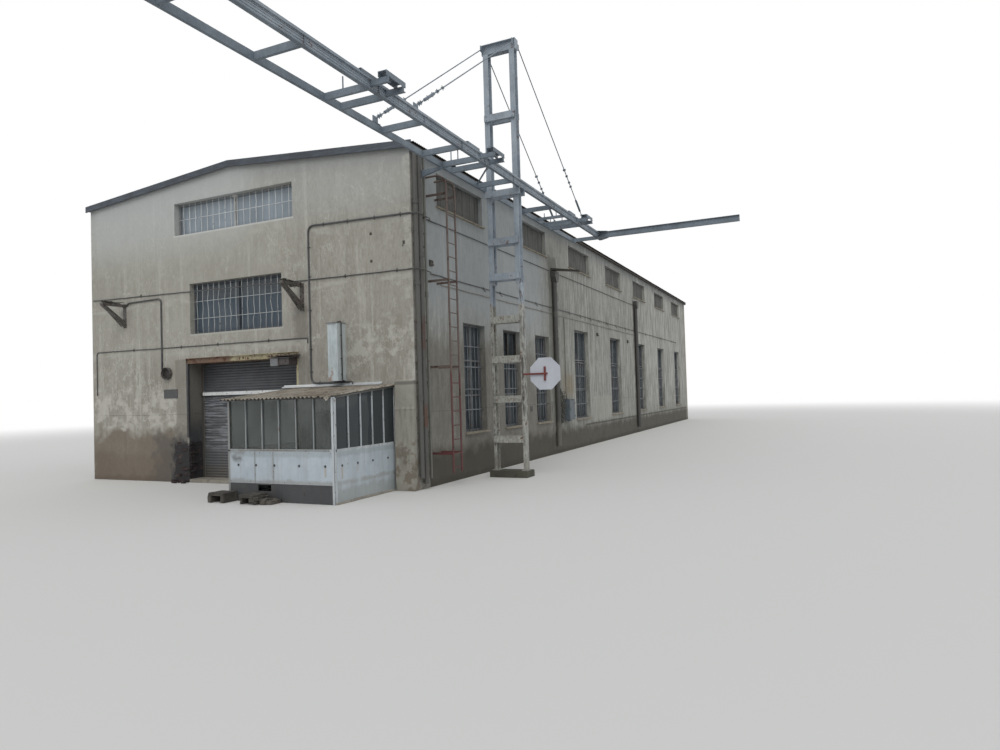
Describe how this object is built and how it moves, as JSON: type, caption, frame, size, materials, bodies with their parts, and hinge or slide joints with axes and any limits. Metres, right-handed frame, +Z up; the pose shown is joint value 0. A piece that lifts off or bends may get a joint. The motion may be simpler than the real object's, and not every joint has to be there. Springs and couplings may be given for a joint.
{
  "type": "factory building",
  "caption": "Plastered brick factory hall with a low gable roof, roller shutter, glazed annex, wall pipes and ladder, and a stayed steel pipe bridge with its pylon beside it",
  "frame": {"origin": "middle of the hall's footprint at ground level, on the underside of the floor slab", "axes": "+Z up, the gable front with the roller shutter faces -Y, the long wall with the pipe bridge faces +X"},
  "size_m": [15.7848, 38.8353, 10.26],
  "materials": {
    "wall_plaster": "matte",
    "side_plaster": "matte",
    "concrete": "matte",
    "roof_metal": "matte",
    "roof_timber": "matte",
    "window_paint": "satin",
    "window_glass": "gloss",
    "sill_mortar": "matte",
    "rusty_steel": "matte",
    "shutter_steel": "satin",
    "guide_steel": "satin",
    "annex_paint": "satin",
    "skirting_paint": "matte",
    "annex_glass": "gloss",
    "annex_sheet": "matte",
    "duct_sheet": "satin",
    "pipe_steel": "matte",
    "cabinet_paint": "satin",
    "ladder_steel": "matte",
    "pylon_steel": "matte",
    "bridge_steel": "matte",
    "plate_paint": "satin",
    "bracket_paint": "matte"
  },
  "bodies": {
    "root": {"front_wall": "wall_plaster", "rear_wall": "wall_plaster", "right_wall": "side_plaster", "left_wall": "side_plaster", "floor_slab": "concrete", "annex_floor": "concrete", "annex_steps": "concrete", "pylon_plinth": "concrete", "roof_sheets": "roof_metal", "roof_deck": "roof_timber", "verge_boards": "roof_timber", "window_frames": "window_paint", "window_glass": "window_glass", "window_sills": "sill_mortar", "door_lintel": "rusty_steel", "door_canopy": "rusty_steel", "wall_brackets": "rusty_steel", "roller_shutter": "shutter_steel", "shutter_guides": "guide_steel", "annex_panels": "annex_paint", "annex_frame": "annex_paint", "annex_flashing": "annex_paint", "annex_skirting": "skirting_paint", "annex_glazing": "annex_glass", "annex_roof": "annex_sheet", "duct_box": "duct_sheet", "wall_conduits": "pipe_steel", "corner_pipes": "pipe_steel", "downpipes": "pipe_steel", "wall_vent": "pipe_steel", "wall_cabinet": "cabinet_paint", "ladder": "ladder_steel", "pylon_legs": "pylon_steel", "pylon_battens": "pylon_steel", "pylon_cap": "pylon_steel", "inner_beam": "bridge_steel", "outer_beam": "bridge_steel", "cross_members": "bridge_steel", "saddles": "bridge_steel", "bridge_conduits": "bridge_steel", "bridge_bracket": "bridge_steel", "branch_beam": "bridge_steel", "stays": "bridge_steel", "blank_plate": "plate_paint", "plate_bracket": "bracket_paint"}
  },
  "joints": []
}
